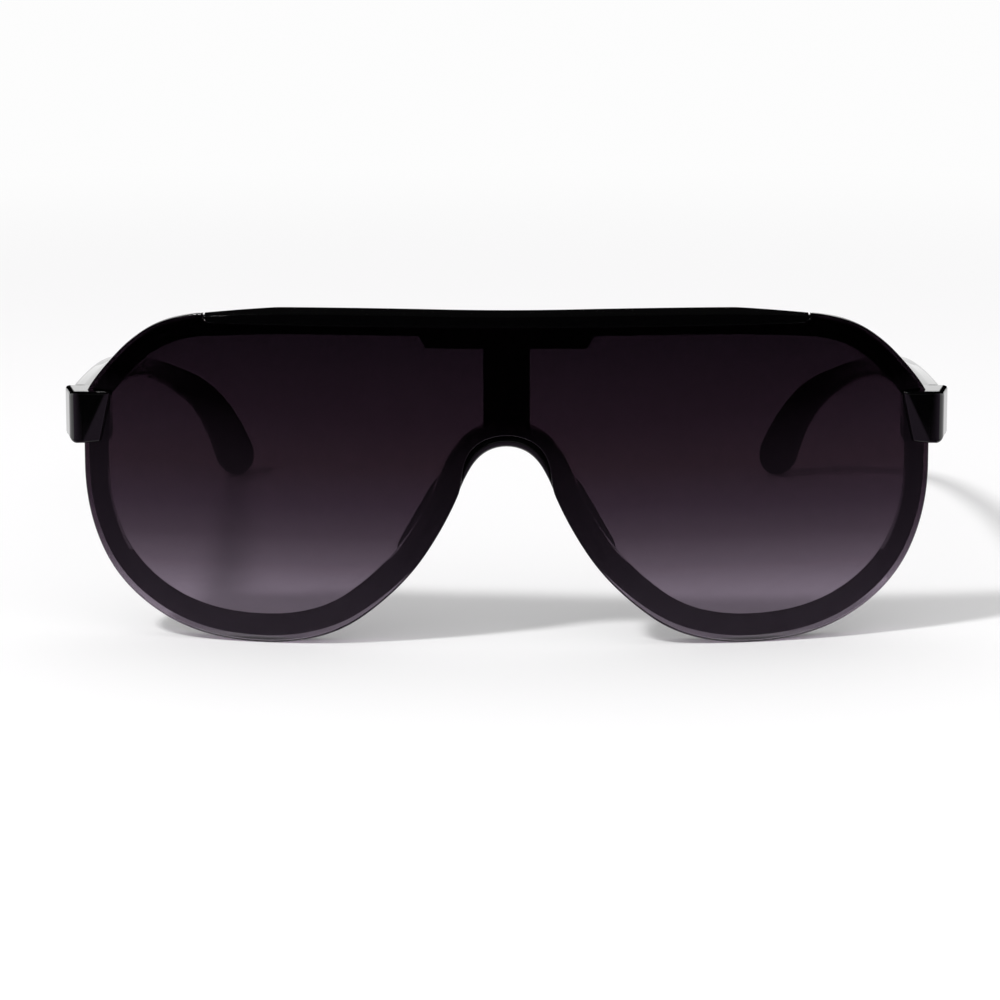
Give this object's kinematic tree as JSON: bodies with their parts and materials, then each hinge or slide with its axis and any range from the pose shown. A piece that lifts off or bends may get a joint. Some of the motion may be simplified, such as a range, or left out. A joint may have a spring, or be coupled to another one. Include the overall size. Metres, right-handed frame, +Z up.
{
  "type": "shield sunglasses",
  "caption": "Wraparound shield sunglasses: one smoke lens over a rimmed frame, with a brow bar and two folding temples.",
  "frame": {"origin": "on the surface that the open sunglasses stand on, under the middle of their bounding box", "axes": "+X to the right as seen from the front, +Y from the front back along the open temples, +Z up"},
  "size_m": [0.148, 0.1534, 0.0566],
  "materials": {
    "frame_black": "polished black",
    "lens_smoke": "polished, grey-plum gradient, dark at the top",
    "brow_black": "polished black",
    "temple_black": "polished black",
    "hinge_steel": "satin",
    "fastener_steel": "bright"
  },
  "bodies": {
    "front": {"front_frame": "frame_black", "shield_lens": "lens_smoke", "brow_bar": "brow_black", "left_front_hinge": "hinge_steel", "right_front_hinge": "hinge_steel", "left_hinge_screw": "fastener_steel", "right_hinge_screw": "fastener_steel"},
    "left_arm": {"left_temple": "temple_black", "left_temple_hinge": "hinge_steel", "left_temple_rivets": "fastener_steel"},
    "right_arm": {"right_temple": "temple_black", "right_temple_hinge": "hinge_steel", "right_temple_rivets": "fastener_steel"}
  },
  "joints": [
    {"name": "left_temple_fold", "type": "hinge", "parent": "front", "child": "left_arm", "pos_m": [-0.06944, -0.05693, 0.0376], "axis": [0, 0, -1], "range_deg": [0, 77]},
    {"name": "right_temple_fold", "type": "hinge", "parent": "front", "child": "right_arm", "pos_m": [0.06944, -0.05693, 0.0376], "axis": [0, 0, 1], "range_deg": [0, 84]}
  ]
}
